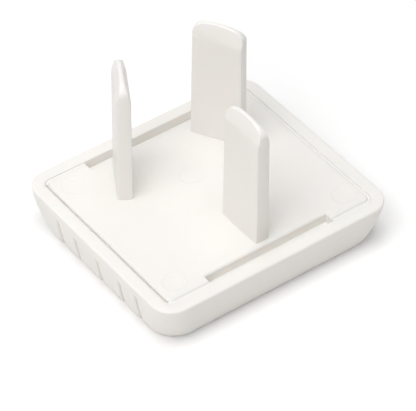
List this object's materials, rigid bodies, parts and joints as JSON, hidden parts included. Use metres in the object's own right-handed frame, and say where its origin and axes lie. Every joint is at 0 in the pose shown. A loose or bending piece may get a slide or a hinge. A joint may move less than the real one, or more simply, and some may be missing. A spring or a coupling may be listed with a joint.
{
  "type": "outlet safety cover",
  "caption": "Rectangular outlet safety cover: flat blades stand on the back plate of a shallow shell with ribbed finger grips on two sides.",
  "frame": {"origin": "centre of the front face, which lies on the ground", "axes": "+Z from the front face toward the blades, -Y toward the single earth blade, finger grips on -X and +X"},
  "size_m": [0.0322, 0.028, 0.0224],
  "materials": {
    "shell": "satin, as moulded",
    "pin_plate": "satin, as moulded"
  },
  "bodies": {
    "root": {"shell": "shell", "pin_plate": "pin_plate"}
  },
  "joints": []
}
